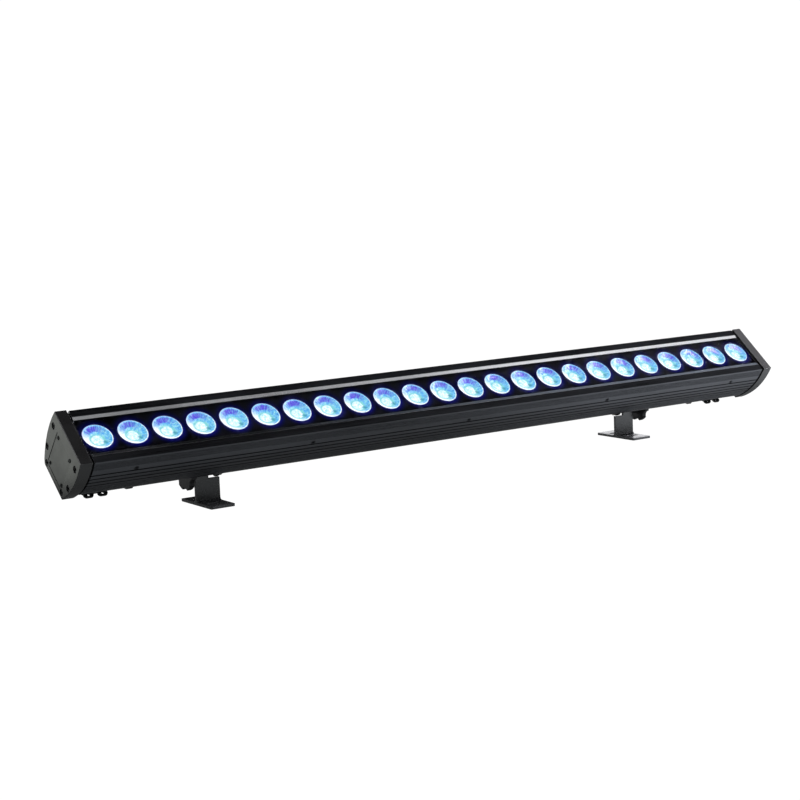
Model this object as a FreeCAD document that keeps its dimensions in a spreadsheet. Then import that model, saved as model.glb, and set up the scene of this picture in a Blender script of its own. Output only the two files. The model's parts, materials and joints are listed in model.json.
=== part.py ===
"""LED strip batten on two tilting feet.  Millimetres, +Z up, floor at Z = 0.

The origin is on the floor, midway between the feet, in the plane of the tilt axis.
+X runs along the batten, -Y is the side that the light leaves from.

The housing and all that is fixed to it is modelled in the batten's own axes and then
tilted as one: x along the batten, y up the front face, z straight out of the face, with
z = 0 at the front plane of the end caps.  "Depth" is -z.
"""
import FreeCAD
import Part

import math
import os
import re

from FreeCAD import Placement, Rotation, Vector

# ---------------------------------------------------------------- driving dimensions
SIZES = {
    # whole batten
    "batten_length": 1002.0,
    "batten_depth": 68.1,
    "tilt_angle": 49.2,
    "side_radius": 94.0,
    "side_half_height": 39.5,
    "side_crest_depth": 18.6,
    # end caps, their gaskets, covers and screws
    "cap_thickness": 13.5,
    "cap_edge_chamfer": 0.7,
    "cap_bevel_width": 5.6,
    "cap_bevel_drop": 0.9,
    "gasket_thickness": 3.0,
    "gasket_inset": 3.2,
    "gasket_band": 3.0,
    "gasket_ear_radius": 3.0,
    "cover_half_width": 20.8,
    "cover_top_depth": 13.2,
    "cover_rear_depth": 60.4,
    "cover_thickness": 1.2,
    "cover_sink": 0.4,
    "cover_gap": 0.3,
    "cover_screw_edge": 4.5,
    "cover_screw_radius": 1.25,
    "cover_screw_head": 2.2,
    "cover_screw_length": 6.0,
    "cover_screw_room": 1.0,
    "cover_screw_head_height": 0.8,
    "port_front_half": 30.8,
    "port_front_depth": 14.8,
    "port_middle_half": 30.3,
    "port_middle_depth": 45.2,
    "port_rear_half": 21.3,
    "port_rear_depth": 61.6,
    "cap_screw_radius": 2.0,
    "cap_screw_head": 3.5,
    "cap_screw_head_height": 4.0,
    "cap_screw_grip": 20.0,
    "counterbore_radius": 4.0,
    "counterbore_depth": 5.0,
    "screw_gap": 0.1,
    # housing extrusion
    "side_inset": 0.6,
    "rear_inset": 1.5,
    "front_lip_depth": 1.0,
    "side_wall": 3.2,
    "rear_wall": 5.0,
    "web_thickness": 3.0,
    "rear_chamfer_depth": 7.8,
    "rear_chamfer_width": 7.2,
    "bay_corner_lead": 1.4,
    "port_boss_radius": 3.6,
    "port_web": 3.0,
    "ledge_thickness": 2.0,
    "ledge_reach": 2.4,
    "rib_pitch": 1.15,
    "rib_first_depth": 3.6,
    "rib_count": 8.0,
    "rib_cut": 0.5,
    "groove_first_depth": 19.7,
    "groove_pitch": 6.15,
    "groove_count": 4.0,
    "groove_width": 1.8,
    "groove_cut": 1.7,
    "fin_first_depth": 42.0,
    "fin_pitch": 1.9,
    "fin_count": 7.0,
    # front optics
    "window_half": 28.0,
    "strip_inner_half": 23.8,
    "strip_slope_drop": 0.9,
    "strip_gap": 0.1,
    "pane_front_depth": 2.4,
    "pane_thickness": 2.0,
    "pane_edge_half": 31.6,
    "pane_gap": 0.1,
    "mask_thickness": 1.0,
    "lens_count": 24.0,
    "lens_pitch": 40.5,
    "lens_radius": 16.6,
    "lens_gap": 0.2,
    "lens_front_depth": 4.6,
    "lens_rim": 1.6,
    "lens_base_radius": 6.5,
    "lens_rim_step": 0.4,
    "lens_flare_bulge": 2.0,
    "lens_well_radius": 3.6,
    "lens_well_top_radius": 2.9,
    "lens_well_depth": 6.0,
    "lens_foot_gap": 0.4,
    "holder_wall": 1.6,
    "holder_gap": 1.9,
    "holder_collar": 0.9,
    "holder_step": 1.3,
    "led_board_depth": 24.6,
    "led_board_thickness": 1.6,
    "led_board_half_width": 24.0,
    "led_board_gap": 1.0,
    "led_base_half": 2.6,
    "led_base_height": 1.1,
    "led_dome_radius": 1.9,
    "board_screw_offset": 19.5,
    # electronics
    "supply_length": 220.0,
    "supply_half_width": 20.0,
    "supply_front_depth": 36.0,
    "supply_rear_depth": 57.6,
    "supply_centre": 180.0,
    "supply_pad_radius": 4.0,
    "supply_pad_inset": 12.0,
    "supply_pad_edge": 10.0,
    "driver_length": 180.0,
    "driver_centre": 175.0,
    "driver_depth": 56.0,
    "driver_half_width": 17.0,
    "driver_channels": 6.0,
    "inductor_width": 12.0,
    "inductor_height": 7.0,
    "capacitor_radius": 4.0,
    "capacitor_height": 11.0,
    "spacer_radius": 2.5,
    "spacer_inset": 4.0,
    "circuit_thickness": 1.6,
    "control_board_room": 8.0,
    "control_board_end": 5.0,
    "control_board_half_width": 11.0,
    "control_spacer_radius": 1.2,
    "control_spacer_inset": 1.6,
    "processor_width": 14.0,
    "processor_height": 2.5,
    "module_margin": 2.0,
    "switch_width": 6.0,
    "switch_gap": 0.2,
    # rear connector plates
    "plate_length": 62.0,
    "plate_half_width": 20.5,
    "plate_thickness": 2.0,
    "plate_screw_inset": 3.5,
    "rear_screw_grip": 4.0,
    "left_plate_centre": 446.0,
    "right_plate_centre": 426.0,
    "eye_first_offset": 7.9,
    "eye_pitch": 16.2,
    "eye_half": 25.0,
    "eye_hole": 1.6,
    "lug_length": 11.4,
    "lug_radius": 3.4,
    "web_half": 23.6,
    "tab_offset": 24.0,
    "tab_length": 7.4,
    "tab_half": 24.0,
    "socket_offset": 15.0,
    "socket_flange_half": 12.5,
    "socket_flange_thickness": 1.6,
    "socket_radius": 10.2,
    "socket_collar_height": 3.4,
    "socket_depth": 15.0,
    "socket_well_radius": 8.4,
    "socket_well_depth": 8.0,
    "socket_corner": 2.5,
    "socket_groove_outer": 8.8,
    "socket_groove_inner": 7.6,
    "socket_groove_depth": 2.0,
    "contact_radius": 1.2,
    "contact_gap": 0.2,
    "contact_hole_depth": 6.0,
    "pin_setback": 1.5,
    "contact_circle": 5.6,
    # control panel
    "panel_length": 104.0,
    "panel_half_width": 18.5,
    "panel_thickness": 2.0,
    "panel_screw_inset": 3.6,
    "opening_end_margin": 8.0,
    "opening_side_margin": 5.0,
    "display_length": 42.0,
    "display_height": 17.0,
    "display_centre": -21.0,
    "display_gap": 0.15,
    "display_set_in": 0.2,
    "display_lap": 1.5,
    "display_flange_thickness": 0.6,
    "button_count": 4.0,
    "button_pitch": 10.5,
    "button_first": 8.0,
    "button_radius": 3.3,
    "button_gap": 0.3,
    "button_proud": 2.0,
    "button_flange": 4.3,
    "button_flange_thickness": 1.0,
    "button_flange_gap": 0.4,
    "button_travel": 1.0,
    # tilt hinge
    "foot_spacing": 623.7,
    "pivot_height": 37.6,
    "pivot_gap": 20.7,
    "bolt_radius": 4.0,
    "bolt_gap": 0.06,
    "bolt_end_gap": 0.4,
    "bolt_head_across": 13.0,
    "bolt_head_height": 5.3,
    "cheek_thickness": 3.0,
    "cheek_radius": 8.2,
    "bracket_base_thickness": 3.0,
    "bracket_half_width": 14.0,
    "bracket_screw_half": 10.6,
    "hinge_gap": 0.35,
    "washer_radius": 8.0,
    "washer_thickness": 1.6,
    # feet
    "foot_width": 30.4,
    "foot_length": 70.8,
    "foot_base_thickness": 3.0,
    "foot_plate_thickness": 3.5,
    "foot_shoulder_height": 28.8,
    "foot_fillet": 3.2,
    "foot_corner": 2.0,
    "tongue_width": 16.5,
    "barrel_radius": 6.0,
    "barrel_length": 25.1,
    "slot_spacing": 33.0,
    "slot_length": 18.0,
    "slot_radius": 3.25,
    # clamp knobs
    "knob_radius": 19.2,
    "knob_rim": 6.2,
    "knob_hub_radius": 9.5,
    "knob_hub_length": 2.0,
    "knob_lobes": 6.0,
    "knob_scallop_radius": 6.5,
    "knob_scallop_circle": 22.6,
    "knob_round": 1.2,
    "knob_skin": 1.6,
    "insert_wall": 2.4,
    # small screws
    "screw_radius": 1.5,
    "screw_head_radius": 2.75,
    "screw_head_height": 1.8,
    "side_screw_depth": 16.5,
    "side_screw_pitch": 217.0,
    "side_screw_count": 5.0,
    "side_screw_sink": 1.6,
    "side_screw_length": 4.5,
    "side_screw_head_height": 1.1,
    "side_screw_room": 1.0,
}

doc = FreeCAD.newDocument("LedStripBatten")
sheet = doc.addObject("Spreadsheet::Sheet", "Sizes")
for row, (alias, value) in enumerate(SIZES.items(), start=1):
    sheet.set("A%d" % row, alias)
    sheet.set("B%d" % row, str(value))
    sheet.setAlias("B%d" % row, alias)
doc.recompute()

ALIAS_PATTERN = re.compile(r"\b(" + "|".join(sorted(SIZES, key=len, reverse=True)) + r")\b")
subparts = []

KEY_WIDTH_SHARE = 0.5      # a screw's hexagon socket is drawn as a round one, as shares of its head
KEY_DEPTH_SHARE = 0.6
OVERCUT = 1.0              # how far a cut runs past the faces that it opens
SAME = 0.01                # lengths closer than this are taken as equal


def size(alias):
    """A driving dimension, read from the sheet."""
    return float(getattr(sheet, alias))


def bind(item, prop, expression):
    """Bind a property to the sheet; the expression uses the sheet's aliases."""
    item.setExpression(prop, ALIAS_PATTERN.sub(r"Sizes.\1", expression))


# ---------------------------------------------------------------- derived places
arc_centre = Vector(size("side_half_height") - size("side_radius"), -size("side_crest_depth"), 0)
body_radius = size("side_radius") - size("side_inset")
body_rear = size("batten_depth") - size("rear_inset")
body_half = size("batten_length") / 2 - size("cap_thickness") - size("gasket_thickness")
web_front = size("led_board_depth") + size("led_board_thickness")
web_rear = web_front + size("web_thickness")
rear_wall_front = body_rear - size("rear_wall")
pane_back = size("pane_front_depth") + size("pane_thickness")
ledge_front = pane_back + size("mask_thickness")
pivot_depth = body_rear + size("pivot_gap")
BODY_LENGTH = "(batten_length - 2 * cap_thickness - 2 * gasket_thickness)"
BODY_REAR = "(batten_depth - rear_inset)"
BEHIND_REAR = "-%s - %s" % (BODY_REAR, OVERCUT)
THROUGH_REAR = "rear_wall + 2 * %s" % OVERCUT

tilt_turn = Rotation(Vector(1, 0, 0), 90 - size("tilt_angle"))
pivot_point = Vector(0, 0, size("pivot_height"))
TILT = Placement(pivot_point + tilt_turn.multVec(Vector(0, 0, pivot_depth)), tilt_turn)
HALF_TURN = Placement(Vector(), Rotation(Vector(0, 0, 1), 180))
ALONG_X = Rotation(Vector(0, 1, 0), 90)


def tilted(side=1):
    """Placement of a housing piece; side -1 turns it about the face normal to the left end."""
    return TILT if side > 0 else TILT.multiply(HALF_TURN)


def side_half(radius, depth):
    """Half height of the curved side of that radius, at a depth."""
    return arc_centre.x + math.sqrt(radius ** 2 - (depth + arc_centre.y) ** 2)


def rear_corner():
    """Where the housing's curved side ends and its rear chamfer starts."""
    depth = body_rear - size("rear_chamfer_depth")
    return side_half(body_radius, depth), depth


def rear_flat_half():
    """Half width of the housing's flat rear, between its two rear chamfers."""
    return rear_corner()[0] - size("rear_chamfer_width")


# ---------------------------------------------------------------- building helpers
def keep(item, label, placement):
    """Name a finished sub-part and put it in its place."""
    item.Label = label
    item.Placement = placement
    subparts.append(item)
    return item


def origin_plane(body, role):
    return [plane for plane in body.Origin.OriginFeatures if plane.Role == role][0]


def new_body(label):
    return doc.addObject("PartDesign::Body", label + "_body")


def new_sketch(body, role, name, geometry, offset="0"):
    """A sketch on one of the body's own origin planes, moved along its normal by offset."""
    sketch = body.newObject("Sketcher::SketchObject", name)
    sketch.AttachmentSupport = [(origin_plane(body, role), "")]
    sketch.MapMode = "FlatFace"
    bind(sketch, "AttachmentOffset.Base.z", offset)
    sketch.addGeometry(geometry, False)
    return sketch


def pad(body, sketch, length, name):
    feature = body.newObject("PartDesign::Pad", name)
    feature.Profile = sketch
    bind(feature, "Length", length)
    doc.recompute()
    return feature


def pocket(body, sketch, length, name, reverse=False):
    """Cut the sketch into the body, and make sure that it really removes material."""
    before = body.Shape.Volume
    feature = body.newObject("PartDesign::Pocket", name)
    feature.Profile = sketch
    feature.Reversed = reverse
    bind(feature, "Length", length)
    doc.recompute()
    if body.Shape.Volume > before - SAME:
        raise RuntimeError(name + " cuts nothing")
    return feature


def dress(body, kind, name, chosen, prop, expression):
    """Fillet or chamfer the edges of the body's tip that chosen() accepts."""
    base = body.Tip
    edges = ["Edge%d" % (index + 1) for index, edge in enumerate(base.Shape.Edges) if chosen(edge)]
    feature = body.newObject("PartDesign::" + kind, name)
    feature.Base = (base, edges)
    bind(feature, prop, expression)
    doc.recompute()
    return feature


def polygon(points):
    """Closed chain of straight lines."""
    return [Part.LineSegment(a, b) for a, b in zip(points, points[1:] + points[:1])]


def circle(x, y, radius):
    return Part.Circle(Vector(x, y, 0), Vector(0, 0, 1), radius)


def rectangle(x_low, y_low, x_high, y_high):
    corners = [(x_low, y_low), (x_high, y_low), (x_high, y_high), (x_low, y_high)]
    return polygon([Vector(x, y, 0) for x, y in corners])


def slot(x, y, length, radius):
    """Slot outline along the sketch's x axis."""
    reach = length / 2 - radius
    right = Part.Arc(Vector(x + reach, y - radius, 0), Vector(x + length / 2, y, 0),
                     Vector(x + reach, y + radius, 0))
    left = Part.Arc(Vector(x - reach, y + radius, 0), Vector(x - length / 2, y, 0),
                    Vector(x - reach, y - radius, 0))
    top = Part.LineSegment(Vector(x + reach, y + radius, 0), Vector(x - reach, y + radius, 0))
    bottom = Part.LineSegment(Vector(x - reach, y - radius, 0), Vector(x + reach, y - radius, 0))
    return [right, top, left, bottom]


def curved_sides(radius, front, rear):
    """The two arcs of a curved-side outline between two depths, upper side first."""
    arcs = []
    for sign in (1, -1):
        points = [Vector(sign * side_half(radius, depth), -depth, 0)
                  for depth in (front, (front + rear) / 2, rear)]
        arcs.append(Part.Arc(*points))
    return arcs


def profile(radius, front, rear, rear_half=None, rear_end=None):
    """Closed outline: flat front, curved sides and a flat rear, chamfered if rear_end is given."""
    rear_end = rear if rear_end is None else rear_end
    rear_half = side_half(radius, rear) if rear_half is None else rear_half
    front_half = side_half(radius, front)
    lines = [Part.LineSegment(Vector(-front_half, -front, 0), Vector(front_half, -front, 0)),
             Part.LineSegment(Vector(-rear_half, -rear_end, 0), Vector(rear_half, -rear_end, 0))]
    if rear_end > rear:
        for sign in (1, -1):
            start = Vector(sign * side_half(radius, rear), -rear, 0)
            lines.append(Part.LineSegment(start, Vector(sign * rear_half, -rear_end, 0)))
    return curved_sides(radius, front, rear) + lines


def primitive(kind, name, sizes, base=("0", "0", "0"), rotation=None):
    """A Part primitive with its sizes and place bound to the sheet."""
    item = doc.addObject("Part::" + kind, name)
    if rotation is not None:
        item.Placement = Placement(Vector(), rotation)
    for prop, expression in sizes.items():
        bind(item, prop, expression)
    for axis, expression in zip("xyz", base):
        bind(item, "Placement.Base." + axis, expression)
    return item


def box(name, length, width, height, base):
    return primitive("Box", name, {"Length": length, "Width": width, "Height": height}, base)


def cylinder(name, radius, height, base, rotation=None):
    return primitive("Cylinder", name, {"Radius": radius, "Height": height}, base, rotation)


def fuse(name, items):
    item = doc.addObject("Part::MultiFuse", name)
    item.Shapes = items
    return item


def cut(name, base, tools):
    item = doc.addObject("Part::Cut", name)
    item.Base = base
    item.Tool = tools[0] if len(tools) == 1 else fuse(name + "_tools", tools)
    return item


def group(label, shapes, placement):
    """Identical separate solids that share one node."""
    item = doc.addObject("Part::Feature", label)
    item.Shape = Part.makeCompound(shapes)
    return keep(item, label, placement)


def screw(point, direction, radius, length, head_radius, head_height):
    """Socket-head screw: the head's underside is at point, the shank runs along direction."""
    shank = Part.makeCylinder(radius, length, point, direction)
    head = Part.makeCylinder(head_radius, head_height, point, direction * -1)
    key = Part.makeCylinder(head_radius * KEY_WIDTH_SHARE, head_height * KEY_DEPTH_SHARE,
                            point - direction * head_height, direction)
    return shank.fuse(head).cut(key).removeSplitter()


# ---------------------------------------------------------------- housing
def cap_screw_ports():
    """Height and depth of the six screw ports in the housing's section."""
    ports = []
    for name in ("front", "middle", "rear"):
        half = size("port_%s_half" % name)
        ports += [(half, size("port_%s_depth" % name)), (-half, size("port_%s_depth" % name))]
    return ports


def side_notch(depth, width, cut_depth, sign):
    """Notch square to the curved side at a depth, as four corners in the section."""
    rise = math.asin((-depth - arc_centre.y) / body_radius)
    outward = Vector(math.cos(rise), math.sin(rise), 0)
    along = Vector(-outward.y, outward.x, 0)
    surface = arc_centre + outward * body_radius
    corners = [surface + outward * reach + along * step for reach, step in
               ((-cut_depth, -width / 2), (OVERCUT, -width / 2), (OVERCUT, width / 2),
                (-cut_depth, width / 2))]
    return polygon([Vector(sign * corner.x, corner.y, 0) for corner in corners])


def side_notches():
    """Fine ribs near the face, four cooling grooves and shallow fins near the rear."""
    notches = []
    for sign in (1, -1):
        for index in range(int(size("rib_count"))):
            depth = size("rib_first_depth") + index * size("rib_pitch")
            notches += side_notch(depth, size("rib_pitch") / 2, size("rib_cut"), sign)
        for index in range(int(size("groove_count"))):
            depth = size("groove_first_depth") + index * size("groove_pitch")
            notches += side_notch(depth, size("groove_width"), size("groove_cut"), sign)
        for index in range(int(size("fin_count"))):
            depth = size("fin_first_depth") + index * size("fin_pitch")
            notches += side_notch(depth, size("fin_pitch") / 2, size("rib_cut"), sign)
    return notches


def socket_places():
    """Position along the batten of each connector, by name."""
    left = -size("left_plate_centre")
    right = size("right_plate_centre")
    offset = size("socket_offset")
    return {"power_inlet": left - offset, "data_inlet": left + offset,
            "data_outlet": right - offset, "power_outlet": right + offset}


def make_housing():
    body = new_body("housing_extrusion")
    start = "-" + BODY_LENGTH + " / 2"
    corner_half, corner_depth = rear_corner()
    inner_radius = body_radius - size("side_wall")
    outline = profile(body_radius, size("front_lip_depth"), corner_depth, rear_flat_half(), body_rear)
    pad(body, new_sketch(body, "YZ_Plane", "section", outline, start), BODY_LENGTH, "section_pad")

    window = rectangle(-size("window_half"), -ledge_front, size("window_half"), 0)
    edge = size("pane_edge_half") + size("pane_gap")
    seat = rectangle(-edge, -ledge_front, edge, -size("pane_front_depth"))
    ledge_half = size("pane_edge_half") - size("ledge_reach")
    throat = rectangle(-ledge_half, -ledge_front - size("ledge_thickness"), ledge_half,
                       -ledge_front + OVERCUT)
    channel = profile(inner_radius, ledge_front + size("ledge_thickness"), web_front)
    for name, geometry in (("window", window), ("pane_seat", seat), ("throat", throat),
                           ("optics_channel", channel)):
        pocket(body, new_sketch(body, "YZ_Plane", name, geometry, start), BODY_LENGTH,
               name + "_cut", True)

    inner_corner = corner_depth - size("bay_corner_lead")
    bay = profile(inner_radius, web_rear, inner_corner, rear_flat_half(), rear_wall_front)
    pocket(body, new_sketch(body, "YZ_Plane", "electronics_bay", bay, start), BODY_LENGTH,
           "electronics_bay_cut", True)

    bosses = [circle(half, -depth, size("port_boss_radius")) for half, depth in cap_screw_ports()]
    pad(body, new_sketch(body, "YZ_Plane", "port_bosses", bosses, start), BODY_LENGTH, "boss_pad")
    thick = size("port_web")
    for index, (half, depth) in enumerate(cap_screw_ports()):
        if depth < size("port_rear_depth"):
            edge = math.copysign(side_half(inner_radius, depth) + size("side_wall") / 2, half)
            web = rectangle(half, -depth - thick / 2, edge, -depth + thick / 2)
        else:
            web = rectangle(half - thick / 2, -rear_wall_front - size("rear_wall") / 2,
                            half + thick / 2, -depth)
        pad(body, new_sketch(body, "YZ_Plane", "port_web_%d" % index, web, start), BODY_LENGTH,
            "port_web_pad_%d" % index)
    bore = size("cap_screw_radius") + size("screw_gap")
    bores = [circle(half, -depth, bore) for half, depth in cap_screw_ports()]
    pocket(body, new_sketch(body, "YZ_Plane", "port_bores", bores, start), BODY_LENGTH,
           "port_bore_cut", True)
    pocket(body, new_sketch(body, "YZ_Plane", "side_notches", side_notches(), start), BODY_LENGTH,
           "side_notch_cut", True)

    bore = size("socket_radius") + size("screw_gap")
    holes = [circle(place, 0, bore) for place in socket_places().values()]
    half_length = size("panel_length") / 2 - size("opening_end_margin")
    half_width = size("panel_half_width") - size("opening_side_margin")
    holes += rectangle(-half_length, -half_width, half_length, half_width)
    pocket(body, new_sketch(body, "XY_Plane", "rear_openings", holes, BEHIND_REAR),
           THROUGH_REAR, "rear_opening_cut", True)

    screws = [circle(place, sign * size("bracket_screw_half"), size("screw_radius") + size("screw_gap"))
              for place in bracket_screw_places() for sign in (1, -1)]
    screws += [circle(place, half, size("screw_radius") + size("screw_gap"))
               for place, half in plate_screw_places() + panel_screw_places()]
    pocket(body, new_sketch(body, "XY_Plane", "rear_screw_holes", screws, BEHIND_REAR),
           THROUGH_REAR, "rear_screw_cut", True)

    radius = size("screw_head_radius") + size("screw_gap")
    places = side_screw_places()
    for sign, name in ((1, "upper"), (-1, "lower")):
        half = side_half(body_radius, size("side_screw_depth"))
        sinks = [circle(place, -size("side_screw_depth"), radius) for place in places]
        shanks = [circle(place, -size("side_screw_depth"), size("screw_radius") + size("screw_gap"))
                  for place in places]
        # the sketch plane's normal points to -y, so a sketch above the face is at a negative offset
        offset = -sign * (half + OVERCUT)
        sink = new_sketch(body, "XZ_Plane", name + "_screw_sinks", sinks, str(offset))
        pocket(body, sink, "side_screw_sink + %s" % OVERCUT, name + "_screw_sink_cut", sign > 0)
        shank = new_sketch(body, "XZ_Plane", name + "_screw_shanks", shanks, str(offset))
        pocket(body, shank, "side_screw_sink + side_screw_length + side_screw_room + %s" % OVERCUT,
               name + "_screw_shank_cut", sign > 0)
    return keep(body, "housing_extrusion", TILT)


def side_screw_places():
    middle = (size("side_screw_count") - 1) / 2
    return [(index - middle) * size("side_screw_pitch") for index in range(int(size("side_screw_count")))]


def make_side_screws():
    screws = []
    head = size("side_screw_head_height")
    for sign in (1, -1):
        seat = side_half(body_radius, size("side_screw_depth")) - size("side_screw_sink")
        for place in side_screw_places():
            point = Vector(place, sign * seat, -size("side_screw_depth"))
            screws.append(screw(point, Vector(0, -sign, 0), size("screw_radius"),
                                size("side_screw_length"), size("screw_head_radius"), head))
    group("side_screws", screws, TILT)


# ---------------------------------------------------------------- end caps
def make_cap(side, label):
    body = new_body(label)
    inner = "batten_length / 2 - cap_thickness"
    outline = profile(size("side_radius"), 0, size("batten_depth"))
    pad(body, new_sketch(body, "YZ_Plane", label + "_outline", outline, inner), "cap_thickness",
        label + "_pad")
    outer_x = size("batten_length") / 2
    dress(body, "Chamfer", label + "_edge", lambda edge: abs(edge.BoundBox.XMin - outer_x) < SAME,
          "Size", "cap_edge_chamfer")

    drop = size("cap_bevel_drop")
    rear = -size("batten_depth")
    bevel = polygon([Vector(outer_x, rear + size("cap_bevel_width"), 0),
                     Vector(outer_x + OVERCUT, rear - OVERCUT, 0),
                     Vector(outer_x - drop, rear - OVERCUT, 0), Vector(outer_x - drop, rear, 0)])
    pocket(body, new_sketch(body, "XZ_Plane", label + "_bevel", bevel, "side_half_height + %s" % OVERCUT),
           "2 * (side_half_height + %s)" % OVERCUT, label + "_bevel_cut")

    recess = rectangle(-size("cover_half_width"), -size("cover_rear_depth"),
                       size("cover_half_width"), -size("cover_top_depth"))
    depth = "cover_thickness + cover_sink"
    pocket(body, new_sketch(body, "YZ_Plane", label + "_recess", recess, "batten_length / 2"), depth,
           label + "_recess_cut")
    ports = cap_screw_ports()
    sinks = [circle(height, -depth_, size("counterbore_radius")) for height, depth_ in ports]
    pocket(body, new_sketch(body, "YZ_Plane", label + "_sinks", sinks, "batten_length / 2"),
           "counterbore_depth", label + "_sink_cut")
    bore = size("cap_screw_radius") + size("screw_gap")
    holes = [circle(height, -depth_, bore) for height, depth_ in ports]
    pocket(body, new_sketch(body, "YZ_Plane", label + "_holes", holes, "batten_length / 2"),
           "cap_thickness", label + "_hole_cut")
    bore = size("cover_screw_radius") + size("screw_gap")
    taps = [circle(height, -depth_, bore) for height, depth_ in cover_screw_places()]
    pocket(body, new_sketch(body, "YZ_Plane", label + "_taps", taps, "batten_length / 2"),
           "cover_screw_length + cover_sink + cover_screw_room", label + "_tap_cut")
    return keep(body, label, tilted(side))


def make_gasket(side, label):
    radius = size("side_radius") - size("gasket_inset")
    rear = size("batten_depth") - size("gasket_inset")
    front = size("gasket_inset")
    band = size("gasket_band")
    body = new_body(label)
    start = "batten_length / 2 - cap_thickness - gasket_thickness"
    corner = rear - size("rear_chamfer_depth")
    half = side_half(radius, corner) - size("rear_chamfer_width")
    outline = profile(radius, front, corner, half, rear)
    pad(body, new_sketch(body, "YZ_Plane", label + "_outline", outline, start), "gasket_thickness",
        label + "_pad")
    inner = profile(radius - band, front + band, corner - band, half - band, rear - band)
    pocket(body, new_sketch(body, "YZ_Plane", label + "_inner", inner, start), "gasket_thickness",
           label + "_inner_cut", True)
    pads = [circle(height, -depth, size("gasket_ear_radius")) for height, depth in cap_screw_ports()]
    pad(body, new_sketch(body, "YZ_Plane", label + "_ears", pads, start), "gasket_thickness",
        label + "_ear_pad")
    bore = size("cap_screw_radius") + size("screw_gap")
    holes = [circle(height, -depth, bore) for height, depth in cap_screw_ports()]
    pocket(body, new_sketch(body, "YZ_Plane", label + "_holes", holes, start), "gasket_thickness",
           label + "_hole_cut", True)
    return keep(body, label, tilted(side))


def cover_screw_places():
    half = size("cover_half_width") - size("cover_screw_edge")
    depths = (size("cover_top_depth") + size("cover_screw_edge"),
              size("cover_rear_depth") - size("cover_screw_edge"))
    return [(sign * half, depth) for sign in (1, -1) for depth in depths]


def make_cover(side, label):
    body = new_body(label)
    gap = size("cover_gap")
    start = "batten_length / 2 - cover_sink - cover_thickness"
    outline = rectangle(-size("cover_half_width") + gap, -size("cover_rear_depth") + gap,
                        size("cover_half_width") - gap, -size("cover_top_depth") - gap)
    pad(body, new_sketch(body, "YZ_Plane", label + "_outline", outline, start), "cover_thickness",
        label + "_pad")
    bore = size("cover_screw_radius") + size("screw_gap")
    holes = [circle(height, -depth, bore) for height, depth in cover_screw_places()]
    holes += [circle(sign * size("port_rear_half"), -size("port_rear_depth"), size("counterbore_radius"))
              for sign in (1, -1)]
    pocket(body, new_sketch(body, "YZ_Plane", label + "_holes", holes, start), "cover_thickness",
           label + "_hole_cut", True)
    return keep(body, label, tilted(side))


def make_cap_screws(side, name):
    """Six long screws into the housing's ports, and four short ones that hold the cover."""
    inward = Vector(-1, 0, 0)
    seat = size("batten_length") / 2 - size("counterbore_depth")
    length = size("cap_thickness") - size("counterbore_depth") + size("cap_screw_grip")
    long_screws = [screw(Vector(seat, height, -depth), inward, size("cap_screw_radius"), length,
                         size("cap_screw_head"), size("cap_screw_head_height"))
                   for height, depth in cap_screw_ports()]
    group(name + "_cap_screws", long_screws, tilted(side))
    face = size("batten_length") / 2 - size("cover_sink")
    short_screws = [screw(Vector(face, height, -depth), inward, size("cover_screw_radius"),
                          size("cover_screw_length"), size("cover_screw_head"),
                          size("cover_screw_head_height"))
                    for height, depth in cover_screw_places()]
    group(name + "_cover_screws", short_screws, tilted(side))


# ---------------------------------------------------------------- front window and optics
def make_window_strip(sign, label):
    """Clamp strip that closes one long edge of the window; its face slopes in to the pane."""
    outer = size("window_half") - size("strip_gap")
    inner = size("strip_inner_half")
    back = -size("pane_front_depth")
    face = -size("front_lip_depth")
    points = [Vector(sign * outer, back, 0), Vector(sign * outer, face, 0),
              Vector(sign * inner, face - size("strip_slope_drop"), 0), Vector(sign * inner, back, 0)]
    body = new_body(label)
    section = new_sketch(body, "YZ_Plane", label + "_section", polygon(points), "-" + BODY_LENGTH + " / 2")
    pad(body, section, BODY_LENGTH, label + "_pad")
    return keep(body, label, TILT)


def make_window():
    half = size("pane_edge_half")
    body = new_body("front_window")
    outline = rectangle(-half, -pane_back, half, -size("pane_front_depth"))
    section = new_sketch(body, "YZ_Plane", "pane_section", outline, "-" + BODY_LENGTH + " / 2")
    pad(body, section, BODY_LENGTH, "pane_pad")
    return keep(body, "front_window", TILT)


def lens_places():
    middle = (size("lens_count") - 1) / 2
    return [(index - middle) * size("lens_pitch") for index in range(int(size("lens_count")))]


def make_mask():
    body = new_body("lens_mask")
    half = size("pane_edge_half")
    outline = rectangle(-half, -ledge_front, half, -pane_back)
    section = new_sketch(body, "YZ_Plane", "mask_section", outline, "-" + BODY_LENGTH + " / 2")
    pad(body, section, BODY_LENGTH, "mask_pad")
    holes = [circle(place, 0, size("lens_radius") + size("lens_gap")) for place in lens_places()]
    cutter = new_sketch(body, "XY_Plane", "mask_holes", holes,
                        "-(pane_front_depth + pane_thickness + mask_thickness + %s)" % OVERCUT)
    pocket(body, cutter, "mask_thickness + 2 * %s" % OVERCUT, "mask_hole_cut", True)
    return keep(body, "lens_mask", TILT)


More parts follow.
